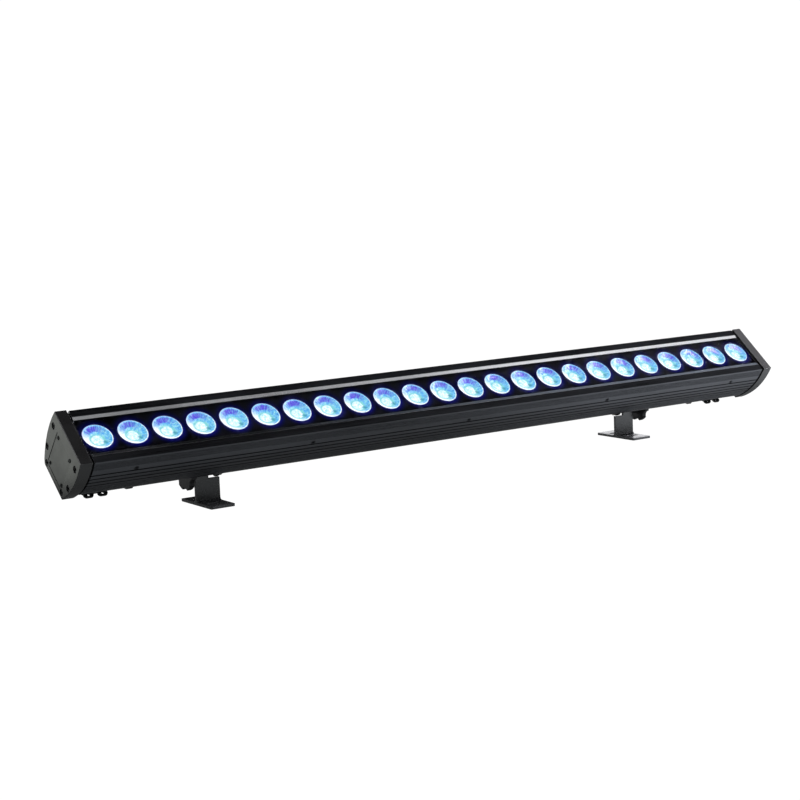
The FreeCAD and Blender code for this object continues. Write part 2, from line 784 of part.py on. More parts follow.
def make_lenses():
    """Collimator lenses: flat front rim, flaring cone and a well over the emitter."""
    front = -size("lens_front_depth")
    rim = front - size("lens_rim")
    foot = -size("led_board_depth") + size("led_base_height") + size("lens_foot_gap")
    well_top = foot + size("lens_well_depth")
    section = [Vector(0, 0, well_top), Vector(size("lens_well_top_radius"), 0, well_top),
               Vector(size("lens_well_radius"), 0, foot), Vector(size("lens_base_radius"), 0, foot)]
    flare_end = Vector(size("lens_radius") - size("lens_rim_step"), 0, rim)
    bulge = (section[-1] + flare_end) / 2 + Vector(size("lens_flare_bulge"), 0, 0)
    tail = [Vector(size("lens_radius"), 0, rim), Vector(size("lens_radius"), 0, front), Vector(0, 0, front)]
    edges = [Part.LineSegment(a, b).toShape() for a, b in zip(section, section[1:])]
    edges.append(Part.Arc(section[-1], bulge, flare_end).toShape())
    outline = [flare_end] + tail + [section[0]]
    edges += [Part.LineSegment(a, b).toShape() for a, b in zip(outline, outline[1:])]
    lens = Part.Face(Part.Wire(edges)).revolve(Vector(), Vector(0, 0, 1), 360)
    group("lenses", [lens.translated(Vector(place, 0, 0)) for place in lens_places()], TILT)


def make_holders():
    """Stepped collars on the board: the lens foot stands on the step, inside the collar."""
    board = Vector(0, 0, -size("led_board_depth"))
    seat = size("led_base_height") + size("lens_foot_gap")
    inner = size("lens_base_radius") + size("holder_gap")
    ring = Part.makeCylinder(inner + size("holder_wall"), seat + size("holder_collar"), board)
    ring = ring.cut(Part.makeCylinder(inner, size("holder_collar"), board + Vector(0, 0, seat)))
    ring = ring.cut(Part.makeCylinder(size("lens_base_radius") - size("holder_step"), seat, board))
    group("lens_holders", [ring.translated(Vector(place, 0, 0)) for place in lens_places()], TILT)


def make_emitters():
    board = -size("led_board_depth")
    half = size("led_base_half")
    base = Part.makeBox(2 * half, 2 * half, size("led_base_height"), Vector(-half, -half, board))
    dome = Part.makeSphere(size("led_dome_radius"), Vector(0, 0, board + size("led_base_height")),
                           Vector(0, 0, 1), 0, 90, 360)
    emitter = base.fuse(dome)
    group("led_emitters", [emitter.translated(Vector(place, 0, 0)) for place in lens_places()], TILT)


def board_screw_places(side):
    """Screws midway between emitters, in two rows, on one of the two boards."""
    return [(side * step * size("lens_pitch"), sign * size("board_screw_offset"))
            for step in range(1, int(size("lens_count")) // 2, 3) for sign in (1, -1)]


def make_led_board(side, label):
    body = new_body(label)
    half = size("led_board_half_width")
    gap = size("led_board_gap")
    length = size("lens_count") / 2 * size("lens_pitch") - gap
    start = gap / 2 if side > 0 else -gap / 2 - length
    outline = rectangle(start, -half, start + length, half)
    sketch = new_sketch(body, "XY_Plane", label + "_outline", outline,
                        "-(led_board_depth + led_board_thickness)")
    pad(body, sketch, "led_board_thickness", label + "_pad")
    holes = [circle(x, y, size("screw_radius") + size("screw_gap")) for x, y in board_screw_places(side)]
    cutter = new_sketch(body, "XY_Plane", label + "_holes", holes,
                        "-(led_board_depth + led_board_thickness)")
    pocket(body, cutter, "led_board_thickness", label + "_hole_cut", True)
    return keep(body, label, TILT)


def make_board_screws():
    """Pan-head screws that press the boards on the web; the web is tapped by them."""
    screws = []
    for side in (1, -1):
        for x, y in board_screw_places(side):
            point = Vector(x, y, -size("led_board_depth"))
            screws.append(screw(point, Vector(0, 0, -1), size("screw_radius"),
                                size("led_board_thickness"), size("screw_head_radius"),
                                size("screw_head_height")))
    group("led_board_screws", screws, TILT)


# ---------------------------------------------------------------- electronics in the rear bay
def make_power_supply():
    """Closed metal case on four pads that stand on the rear wall."""
    width = "2 * supply_half_width"
    low = "-supply_centre - supply_length / 2"
    case = box("supply_case", "supply_length", width, "supply_rear_depth - supply_front_depth",
               (low, "-supply_half_width", "-supply_rear_depth"))
    pads = []
    for index, (along, across) in enumerate(((-1, -1), (-1, 1), (1, -1), (1, 1))):
        place = ("-supply_centre + %d * (supply_length / 2 - supply_pad_inset)" % along,
                 "%d * (supply_half_width - supply_pad_edge)" % across,
                 "-(%s - rear_wall)" % BODY_REAR)
        pads.append(cylinder("supply_pad_%d" % index, "supply_pad_radius",
                             "%s - rear_wall - supply_rear_depth" % BODY_REAR, place))
    keep(fuse("power_supply_fuse", [case] + pads), "power_supply", TILT)


def make_driver_board():
    """Circuit board with its inductors and capacitors, on spacers from the rear wall."""
    low = size("driver_centre") - size("driver_length") / 2
    half = size("driver_half_width")
    back = -size("driver_depth")
    front = back + size("circuit_thickness")
    shapes = [Part.makeBox(size("driver_length"), 2 * half, size("circuit_thickness"),
                           Vector(low, -half, back))]
    coil = size("inductor_width")
    pitch = size("driver_length") / size("driver_channels")
    for index in range(int(size("driver_channels"))):
        x = low + (index + 0.5) * pitch
        shapes.append(Part.makeBox(coil, coil, size("inductor_height"),
                                   Vector(x - coil / 2, -half / 2 - coil / 2, front)))
        shapes.append(Part.makeCylinder(size("capacitor_radius"), size("capacitor_height"),
                                        Vector(x, half / 2, front)))
    spacer = rear_wall_front - size("driver_depth")
    inset = size("spacer_inset")
    for along in (low + inset, low + size("driver_length") - inset):
        for across in (inset - half, half - inset):
            point = Vector(along, across, back - spacer)
            shapes.append(Part.makeCylinder(size("spacer_radius"), spacer, point))
    item = doc.addObject("Part::Feature", "led_driver_board")
    item.Shape = shapes[0].multiFuse(shapes[1:])
    keep(item, "led_driver_board", TILT)


def control_board_depth():
    """Rear face depth of the control board, in front of the buttons and the display."""
    return body_rear - size("button_travel") - size("button_flange_thickness") - size("control_board_room")


def make_control_board():
    """Board with a processor, the display module and one switch under each button."""
    half_length = size("panel_length") / 2 - size("control_board_end")
    half_width = size("control_board_half_width")
    rear = -control_board_depth()
    front = rear + size("circuit_thickness")
    shapes = [Part.makeBox(2 * half_length, 2 * half_width, size("circuit_thickness"),
                           Vector(-half_length, -half_width, rear))]
    chip = size("processor_width")
    shapes.append(Part.makeBox(chip, chip, size("processor_height"),
                               Vector(size("button_first"), -chip / 2, front)))
    length = size("display_length") - 2 * size("module_margin")
    height = size("display_height") - 2 * size("module_margin")
    depth = body_rear - control_board_depth() - size("display_flange_thickness")
    shapes.append(Part.makeBox(length, height, depth,
                               Vector(size("display_centre") - length / 2, -height / 2, rear - depth)))
    stroke = size("button_travel") + size("switch_gap")
    switch_height = button_back_depth() - control_board_depth() - stroke
    width = size("switch_width")
    for place in button_places():
        shapes.append(Part.makeBox(width, width, switch_height,
                                   Vector(place - width / 2, -width / 2, rear - switch_height)))
    spacer = rear_wall_front - control_board_depth()
    radius = size("control_spacer_radius")
    for along in (1, -1):
        for across in (1, -1):
            point = Vector(along * (half_length - size("control_spacer_inset")),
                           across * (half_width - size("control_spacer_inset")), rear - spacer)
            shapes.append(Part.makeCylinder(radius, spacer, point))
    item = doc.addObject("Part::Feature", "control_board")
    item.Shape = shapes[0].multiFuse(shapes[1:])
    keep(item, "control_board", TILT)


# ---------------------------------------------------------------- rear connector plates
def plate_screw_places():
    """Four screws per connector plate, as places on the rear face."""
    inset = size("plate_length") / 2 - size("plate_screw_inset")
    half = size("plate_half_width") - size("plate_screw_inset")
    centres = (-size("left_plate_centre"), size("right_plate_centre"))
    return [(centre + along * inset, across * half)
            for centre in centres for along in (1, -1) for across in (1, -1)]


def lug_band(low, high, root, tip, sign):
    """Four-sided outline that widens an edge of the plate from half height root out to tip."""
    slant = tip - root
    return polygon([Vector(low - slant, sign * root, 0), Vector(high + slant, sign * root, 0),
                    Vector(high, sign * tip, 0), Vector(low, sign * tip, 0)])


def make_rear_plate(side, label):
    """Connector plate; each long edge has two eyes on a common web, and a tab. Outboard is +x."""
    centre = size("right_plate_centre") if side > 0 else size("left_plate_centre")
    body = new_body(label)
    start = "-" + BODY_REAR + " - plate_thickness"
    half = size("plate_half_width")
    reach = size("plate_length") / 2
    outline = rectangle(centre - reach, -half, centre + reach, half)
    pad(body, new_sketch(body, "XY_Plane", label + "_outline", outline, start), "plate_thickness",
        label + "_pad")
    eyes = [centre + size("eye_first_offset") + step * size("eye_pitch") for step in (0, 1)]
    tab = centre - size("tab_offset")
    lug = size("lug_length")
    root = half - OVERCUT
    for sign, edge in ((1, "upper"), (-1, "lower")):
        outlines = {"web": lug_band(eyes[0] - lug / 2, eyes[1] + lug / 2, root, size("web_half"), sign),
                    "tab": lug_band(tab - size("tab_length") / 2, tab + size("tab_length") / 2, root,
                                    size("tab_half"), sign),
                    "inner_lug": slot(eyes[0], sign * size("eye_half"), lug, size("lug_radius")),
                    "outer_lug": slot(eyes[1], sign * size("eye_half"), lug, size("lug_radius"))}
        for part, shape in outlines.items():
            name = "%s_%s_%s" % (label, edge, part)
            pad(body, new_sketch(body, "XY_Plane", name, shape, start), "plate_thickness", name + "_pad")
    holes = [circle(eye, sign * size("eye_half"), size("eye_hole")) for eye in eyes for sign in (1, -1)]
    bore = size("socket_radius") + size("screw_gap")
    holes += [circle(centre + sign * size("socket_offset"), 0, bore) for sign in (1, -1)]
    bore = size("screw_radius") + size("screw_gap")
    holes += [circle(abs(place), across, bore) for place, across in plate_screw_places()
              if place * side > 0]
    pocket(body, new_sketch(body, "XY_Plane", label + "_holes", holes, start), "plate_thickness",
           label + "_hole_cut", True)
    return keep(body, label, tilted(side))


def make_plate_screws():
    """Screws of the connector plates and of the control panel."""
    rows = [("rear_plate_screws", plate_screw_places(), size("plate_thickness")),
            ("panel_screws", panel_screw_places(), size("panel_thickness"))]
    for label, places, thickness in rows:
        screws = [screw(Vector(x, y, -body_rear - thickness), Vector(0, 0, 1), size("screw_radius"),
                        thickness + size("rear_screw_grip"), size("screw_head_radius"),
                        size("screw_head_height"))
                  for x, y in places]
        group(label, screws, TILT)


def make_socket(label, place, male):
    """Round panel connector: flange and collar behind the plate, barrel through the rear wall."""
    face = -body_rear - size("plate_thickness")
    half = size("socket_flange_half")
    thickness = size("socket_flange_thickness")
    flange = Part.makeBox(2 * half, 2 * half, thickness, Vector(place - half, -half, face - thickness))
    corners = [edge for edge in flange.Edges if abs(edge.BoundBox.ZLength - thickness) < SAME]
    flange = flange.makeFillet(size("socket_corner"), corners)
    end = face - size("socket_collar_height")
    barrel = Part.makeCylinder(size("socket_radius"), size("socket_depth") + size("socket_collar_height"),
                               Vector(place, 0, end))
    shape = flange.fuse(barrel)
    turns = [math.radians(angle) for angle in (90, 210, 330)]
    spots = [Vector(place + size("contact_circle") * math.cos(turn),
                    size("contact_circle") * math.sin(turn), end) for turn in turns]
    if male:
        well = size("socket_well_depth")
        shape = shape.cut(Part.makeCylinder(size("socket_well_radius"), well, Vector(place, 0, end)))
        setback = size("pin_setback")
        shape = shape.multiFuse([Part.makeCylinder(size("contact_radius"), well - setback,
                                                   spot + Vector(0, 0, setback)) for spot in spots])
    else:
        depth = size("socket_groove_depth")
        outer = Part.makeCylinder(size("socket_groove_outer"), depth, Vector(place, 0, end))
        inner = Part.makeCylinder(size("socket_groove_inner"), depth, Vector(place, 0, end))
        shape = shape.cut(outer.cut(inner))
        hole = size("contact_radius") + size("contact_gap")
        for spot in spots:
            shape = shape.cut(Part.makeCylinder(hole, size("contact_hole_depth"), spot))
    item = doc.addObject("Part::Feature", label)
    item.Shape = shape.removeSplitter()
    keep(item, label, TILT)


# ---------------------------------------------------------------- control panel
def button_places():
    return [size("button_first") + index * size("button_pitch") for index in range(int(size("button_count")))]


def panel_screw_places():
    along = size("panel_length") / 2 - size("panel_screw_inset")
    across = size("panel_half_width") - size("panel_screw_inset")
    return [(sign_x * along, sign_y * across) for sign_x in (1, -1) for sign_y in (1, -1)]


def make_panel():
    body = new_body("control_panel")
    start = "-" + BODY_REAR + " - panel_thickness"
    outline = rectangle(-size("panel_length") / 2, -size("panel_half_width"),
                        size("panel_length") / 2, size("panel_half_width"))
    pad(body, new_sketch(body, "XY_Plane", "panel_outline", outline, start), "panel_thickness", "panel_pad")
    half_x = size("display_length") / 2
    half_y = size("display_height") / 2
    centre = size("display_centre")
    window = rectangle(centre - half_x, -half_y, centre + half_x, half_y)
    holes = [circle(place, 0, size("button_radius") + size("button_gap")) for place in button_places()]
    screws = [circle(x, y, size("screw_radius") + size("screw_gap")) for x, y in panel_screw_places()]
    pocket(body, new_sketch(body, "XY_Plane", "panel_holes", window + holes + screws, start),
           "panel_thickness", "panel_hole_cut", True)
    return keep(body, "control_panel", TILT)


def make_display():
    """Readout pane, set in from the panel's outer face and held by a flange behind it."""
    pane = box("display_pane", "display_length - 2 * display_gap", "display_height - 2 * display_gap",
               "panel_thickness",
               ("display_centre - display_length / 2 + display_gap", "-display_height / 2 + display_gap",
                "-%s - panel_thickness + display_set_in" % BODY_REAR))
    flange = box("display_flange", "display_length + 2 * display_lap", "display_height + 2 * display_lap",
                 "display_flange_thickness",
                 ("display_centre - display_length / 2 - display_lap", "-display_height / 2 - display_lap",
                  "-" + BODY_REAR))
    keep(fuse("display_fuse", [pane, flange]), "display_window", TILT)


def button_back_depth():
    """Depth of the button's inner end."""
    return body_rear - size("button_flange_gap") - size("button_flange_thickness")


def make_buttons():
    for index, place in enumerate(button_places(), start=1):
        name = "menu_button_%d" % index
        stem = cylinder(name + "_stem", "button_radius",
                        "panel_thickness + button_proud + button_flange_gap + button_flange_thickness",
                        (str(place), "0", "-" + BODY_REAR + " - panel_thickness - button_proud"))
        flange = cylinder(name + "_flange", "button_flange", "button_flange_thickness",
                          (str(place), "0", "-" + BODY_REAR + " + button_flange_gap"))
        keep(fuse(name + "_fuse", [stem, flange]), name, TILT)


# ---------------------------------------------------------------- tilt hinge on the housing
# In these pieces x is counted from the foot's centre, outboard is +x.
OUTER_CHEEK = "(foot_width / 2 + hinge_gap)"
INNER_CHEEK = "(foot_width / 2 - barrel_length - hinge_gap)"
HINGE_CENTRE = "foot_spacing / 2"
KNOB_START = "(" + OUTER_CHEEK + " + cheek_thickness + washer_thickness + hinge_gap)"


def outer_cheek():
    return size("foot_width") / 2 + size("hinge_gap")


def inner_cheek():
    return size("foot_width") / 2 - size("barrel_length") - size("hinge_gap")


def bracket_screw_places():
    centre = (outer_cheek() + inner_cheek()) / 2
    return [side * (size("foot_spacing") / 2 + centre) for side in (1, -1)]


def make_bracket(side, label):
    """U bracket behind the housing; its two cheeks carry the pivot bolt."""
    body = new_body(label)
    centre = size("foot_spacing") / 2
    low = centre + inner_cheek() - size("cheek_thickness")
    high = centre + outer_cheek() + size("cheek_thickness")
    half = size("bracket_half_width")
    base = new_sketch(body, "XY_Plane", label + "_base", rectangle(low, -half, high, half),
                      "-" + BODY_REAR + " - bracket_base_thickness")
    pad(body, base, "bracket_base_thickness", label + "_base_pad")
    radius = size("cheek_radius")
    cheek = [Part.LineSegment(Vector(radius, -body_rear, 0), Vector(radius, -pivot_depth, 0)),
             Part.Arc(Vector(radius, -pivot_depth, 0), Vector(0, -pivot_depth - radius, 0),
                      Vector(-radius, -pivot_depth, 0)),
             Part.LineSegment(Vector(-radius, -pivot_depth, 0), Vector(-radius, -body_rear, 0)),
             Part.LineSegment(Vector(-radius, -body_rear, 0), Vector(radius, -body_rear, 0))]
    starts = {"outer": HINGE_CENTRE + " + " + OUTER_CHEEK,
              "inner": HINGE_CENTRE + " + " + INNER_CHEEK + " - cheek_thickness"}
    for name, start in starts.items():
        sketch = new_sketch(body, "YZ_Plane", "%s_%s_cheek" % (label, name), cheek, start)
        pad(body, sketch, "cheek_thickness", "%s_%s_cheek_pad" % (label, name))
    hole = [circle(0, -pivot_depth, size("bolt_radius") + size("bolt_gap"))]
    span = "barrel_length + 2 * hinge_gap + 2 * cheek_thickness"
    pocket(body, new_sketch(body, "YZ_Plane", label + "_bore", hole, starts["inner"]), span,
           label + "_bore_cut", True)
    place = abs(bracket_screw_places()[0])
    holes = [circle(place, sign * size("bracket_screw_half"), size("screw_radius") + size("screw_gap"))
             for sign in (1, -1)]
    pocket(body, new_sketch(body, "XY_Plane", label + "_holes", holes,
                            "-" + BODY_REAR + " - bracket_base_thickness"),
           "bracket_base_thickness", label + "_hole_cut", True)
    return keep(body, label, tilted(side))


def make_bracket_screws():
    screws = []
    for x in bracket_screw_places():
        for sign in (1, -1):
            point = Vector(x, sign * size("bracket_screw_half"), -body_rear - size("bracket_base_thickness"))
            screws.append(screw(point, Vector(0, 0, 1), size("screw_radius"),
                                size("bracket_base_thickness") + size("rear_screw_grip"),
                                size("screw_head_radius"),
                                size("screw_head_height")))
    group("hinge_bracket_screws", screws, TILT)


def at_pivot(side):
    """Placement of the pieces on the tilt axis: local z runs outboard along the axis."""
    turn = ALONG_X if side > 0 else Rotation(Vector(0, 1, 0), -90)
    return Placement(Vector(side * size("foot_spacing") / 2, 0, size("pivot_height")), turn)


def make_pivot_bolt(side, label):
    """Hexagon bolt: its head lies on the inner cheek, its thread ends inside the knob."""
    start = INNER_CHEEK + " - cheek_thickness"
    end = KNOB_START + " + knob_hub_length + knob_rim - knob_skin - bolt_end_gap"
    shank = cylinder(label + "_shank", "bolt_radius", "%s - (%s)" % (end, start), ("0", "0", start))
    head = primitive("Prism", label + "_head",
                     {"Circumradius": "bolt_head_across / sqrt(3)", "Height": "bolt_head_height"},
                     ("0", "0", start + " - bolt_head_height"))
    head.Polygon = 6
    keep(fuse(label + "_fuse", [shank, head]), label, at_pivot(side))


def make_washer(side, label):
    start = OUTER_CHEEK + " + cheek_thickness"
    disc = cylinder(label + "_disc", "washer_radius", "washer_thickness", ("0", "0", start))
    hole = cylinder(label + "_hole", "bolt_radius + bolt_gap", "washer_thickness", ("0", "0", start))
    keep(cut(label + "_cut", disc, [hole]), label, at_pivot(side))


# ---------------------------------------------------------------- clamp knobs

def make_knob(side, label):
    """Lobed knob with a hub towards the washer and a closed outer face."""
    body = new_body(label)
    insert = size("bolt_radius") + size("bolt_gap") + size("insert_wall")
    hub = new_sketch(body, "XY_Plane", label + "_hub", [circle(0, 0, size("knob_hub_radius"))], KNOB_START)
    pad(body, hub, "knob_hub_length + %s" % OVERCUT, label + "_hub_pad")
    rim = new_sketch(body, "XY_Plane", label + "_rim", [circle(0, 0, size("knob_radius"))],
                     KNOB_START + " + knob_hub_length")
    pad(body, rim, "knob_rim", label + "_rim_pad")
    scallop = [circle(size("knob_scallop_circle"), 0, size("knob_scallop_radius"))]
    first = pocket(body, new_sketch(body, "XY_Plane", label + "_scallop", scallop,
                                    KNOB_START + " + knob_hub_length - %s" % OVERCUT),
                   "knob_rim + 2 * %s" % OVERCUT, label + "_scallop_cut", True)
    pattern = body.newObject("PartDesign::PolarPattern", label + "_scallops")
    pattern.Originals = [first]
    pattern.Axis = (origin_plane(body, "Z_Axis"), [""])
    pattern.Angle = 360
    bind(pattern, "Occurrences", "knob_lobes")
    body.Tip = pattern
    doc.recompute()
    start = outer_cheek() + size("cheek_thickness") + size("washer_thickness") + size("hinge_gap")
    faces = (start + size("knob_hub_length"), start + size("knob_hub_length") + size("knob_rim"))

    def on_rim(edge):
        flat = edge.BoundBox.ZLength < SAME
        level = min(abs(edge.BoundBox.ZMin - face) for face in faces) < SAME
        middle = edge.CenterOfMass
        return flat and level and math.hypot(middle.x, middle.y) > size("knob_hub_radius") + SAME

    dress(body, "Fillet", label + "_rounding", on_rim, "Radius", "knob_round")
    bore = new_sketch(body, "XY_Plane", label + "_bore", [circle(0, 0, insert)], KNOB_START)
    pocket(body, bore, "knob_hub_length + knob_rim - knob_skin", label + "_bore_cut", True)
    return keep(body, label, at_pivot(side))


def make_knob_insert(side, label):
    """Threaded brass bush pressed into the knob."""
    length = "knob_hub_length + knob_rim - knob_skin"
    bush = cylinder(label + "_bush", "bolt_radius + bolt_gap + insert_wall", length, ("0", "0", KNOB_START))
    hole = cylinder(label + "_hole", "bolt_radius + bolt_gap", length, ("0", "0", KNOB_START))
    keep(cut(label + "_cut", bush, [hole]), label, at_pivot(side))


# ---------------------------------------------------------------- feet
def make_foot(side, label):
    """Inverted T foot: slotted base, upright plate with a tongue, and the hinge barrel on top."""
    body = new_body(label)
    half = size("foot_length") / 2
    base = size("foot_base_thickness")
    plate = size("foot_plate_thickness") / 2
    fillet = size("foot_fillet")
    shoulder = size("foot_shoulder_height")
    bend = fillet * (1 - math.cos(math.radians(45)))
    section = [Part.LineSegment(Vector(-half, 0, 0), Vector(half, 0, 0)),
               Part.LineSegment(Vector(half, 0, 0), Vector(half, base, 0)),
               Part.LineSegment(Vector(half, base, 0), Vector(plate + fillet, base, 0)),
               Part.Arc(Vector(plate + fillet, base, 0), Vector(plate + bend, base + bend, 0),
                        Vector(plate, base + fillet, 0)),
               Part.LineSegment(Vector(plate, base + fillet, 0), Vector(plate, shoulder, 0)),
               Part.LineSegment(Vector(plate, shoulder, 0), Vector(-plate, shoulder, 0)),
               Part.LineSegment(Vector(-plate, shoulder, 0), Vector(-plate, base + fillet, 0)),
               Part.Arc(Vector(-plate, base + fillet, 0), Vector(-plate - bend, base + bend, 0),
                        Vector(-plate - fillet, base, 0)),
               Part.LineSegment(Vector(-plate - fillet, base, 0), Vector(-half, base, 0)),
               Part.LineSegment(Vector(-half, base, 0), Vector(-half, 0, 0))]
    pad(body, new_sketch(body, "YZ_Plane", label + "_section", section, "-foot_width / 2"), "foot_width",
        label + "_section_pad")

    def base_corner(edge):
        bounds = edge.BoundBox
        return abs(bounds.ZLength - base) < SAME and bounds.XLength < SAME and bounds.YLength < SAME

    dress(body, "Fillet", label + "_corners", base_corner, "Radius", "foot_corner")
    tongue = rectangle(-plate, shoulder - OVERCUT, plate, size("pivot_height"))
    pad(body, new_sketch(body, "YZ_Plane", label + "_tongue", tongue, "foot_width / 2 - tongue_width"),
        "tongue_width", label + "_tongue_pad")
    barrel = [circle(0, size("pivot_height"), size("barrel_radius"))]
    start = "foot_width / 2 - barrel_length"
    pad(body, new_sketch(body, "YZ_Plane", label + "_barrel", barrel, start), "barrel_length",
        label + "_barrel_pad")
    bore = [circle(0, size("pivot_height"), size("bolt_radius") + size("bolt_gap"))]
    pocket(body, new_sketch(body, "YZ_Plane", label + "_bore", bore, start), "barrel_length",
           label + "_bore_cut", True)
    slots = []
    for sign in (1, -1):
        slots += slot(0, sign * size("slot_spacing") / 2, size("slot_length"), size("slot_radius"))
    pocket(body, new_sketch(body, "XY_Plane", label + "_slots", slots), "foot_base_thickness",
           label + "_slot_cut", True)
    placement = Placement(Vector(side * size("foot_spacing") / 2, 0, 0), Rotation(Vector(0, 0, 1), 0))
    if side < 0:
        placement.Rotation = HALF_TURN.Rotation
    return keep(body, label, placement)


# ---------------------------------------------------------------- build
make_housing()
make_side_screws()
for side, name in ((-1, "left"), (1, "right")):
    make_cap(side, name + "_end_cap")
    make_gasket(side, name + "_cap_gasket")
    make_cover(side, name + "_cap_cover")
    make_cap_screws(side, name)
    make_led_board(side, name + "_led_board")
    make_rear_plate(side, name + "_rear_plate")
    make_bracket(side, name + "_hinge_bracket")
    make_pivot_bolt(side, name + "_pivot_bolt")
    make_washer(side, name + "_pivot_washer")
    make_knob(side, name + "_knob")
    make_knob_insert(side, name + "_knob_insert")
    make_foot(side, name + "_foot")
make_window_strip(1, "upper_window_strip")
make_window_strip(-1, "lower_window_strip")
make_window()
make_mask()
make_lenses()
make_holders()
make_emitters()
make_board_screws()
make_power_supply()
make_driver_board()
make_control_board()
make_plate_screws()
for socket, place in socket_places().items():
    make_socket(socket, place, socket == "data_inlet")
make_panel()
make_display()
make_buttons()
make_bracket_screws()
doc.recompute()

# ---------------------------------------------------------------- checks and export
for item in doc.Objects:
    if "Invalid" in item.State or "Error" in item.State:
        raise RuntimeError("%s failed: %s" % (item.Label, item.State))
os.makedirs("parts", exist_ok=True)
for item in subparts:
    if item.Shape.isNull() or not item.Shape.isValid() or not item.Shape.Solids:
        raise RuntimeError(item.Label + " has no valid solid")
for item in subparts:
    item.Shape.exportStep("parts/%s.step" % item.Label)
    bounds = item.Shape.BoundBox
    print("%-24s %2d solids %10.1f mm3  x %7.1f %7.1f  y %6.1f %6.1f  z %6.1f %6.1f"
          % (item.Label, len(item.Shape.Solids), item.Shape.Volume, bounds.XMin, bounds.XMax,
             bounds.YMin, bounds.YMax, bounds.ZMin, bounds.ZMax))
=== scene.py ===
import json
import math

import bmesh
import bpy
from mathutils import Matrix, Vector


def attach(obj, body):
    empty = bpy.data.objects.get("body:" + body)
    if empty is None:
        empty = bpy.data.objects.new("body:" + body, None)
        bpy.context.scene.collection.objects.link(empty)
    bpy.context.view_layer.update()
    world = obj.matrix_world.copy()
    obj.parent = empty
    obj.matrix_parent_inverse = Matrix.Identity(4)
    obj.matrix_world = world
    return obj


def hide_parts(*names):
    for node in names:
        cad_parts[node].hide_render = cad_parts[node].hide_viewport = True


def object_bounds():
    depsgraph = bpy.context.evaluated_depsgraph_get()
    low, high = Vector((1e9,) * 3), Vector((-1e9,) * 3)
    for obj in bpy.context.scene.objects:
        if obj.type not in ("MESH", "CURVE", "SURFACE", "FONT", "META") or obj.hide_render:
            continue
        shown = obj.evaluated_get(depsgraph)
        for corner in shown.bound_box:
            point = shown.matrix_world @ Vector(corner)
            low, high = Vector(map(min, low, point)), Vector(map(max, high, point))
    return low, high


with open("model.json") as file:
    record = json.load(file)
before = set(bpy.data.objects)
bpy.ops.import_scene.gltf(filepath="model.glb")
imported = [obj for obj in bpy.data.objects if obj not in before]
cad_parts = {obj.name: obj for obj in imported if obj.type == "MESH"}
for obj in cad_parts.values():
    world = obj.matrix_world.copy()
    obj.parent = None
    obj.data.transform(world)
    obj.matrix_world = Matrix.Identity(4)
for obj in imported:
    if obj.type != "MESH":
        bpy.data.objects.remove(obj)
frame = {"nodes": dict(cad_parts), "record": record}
cad_low, cad_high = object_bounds()
nodes = frame["nodes"]

FACE_TILT = math.radians(49.2)      # the window plane leans this far back from upright
ALONG = Vector((1, 0, 0))
UP_FACE = Vector((0, math.sin(FACE_TILT), math.cos(FACE_TILT)))
OUT_OF_FACE = Vector((0, -math.cos(FACE_TILT), math.sin(FACE_TILT)))
LENS_COUNT = 24
MM = 0.001


def extent(node, direction):
    """Lowest and highest reach of a CAD node along a direction."""
    reach = [vertex.co.dot(direction) for vertex in nodes[node].data.vertices]
    return min(reach), max(reach)


lens_low, lens_high = extent("lenses", UP_FACE)
LENS_RADIUS = (lens_high - lens_low) / 2
LENS_UP = (lens_high + lens_low) / 2
LENS_BACK, LENS_FRONT = extent("lenses", OUT_OF_FACE)
row_start, row_end = extent("lenses", ALONG)
LENS_PITCH = (row_end - row_start - 2 * LENS_RADIUS) / (LENS_COUNT - 1)
ROW_HALF = (row_end - row_start) / 2


def on_face(along, up, out):
    """A point given along the batten, up its face and out of it."""
    return ALONG * along + UP_FACE * up + OUT_OF_FACE * out


# ---------------------------------------------------------------- shader building

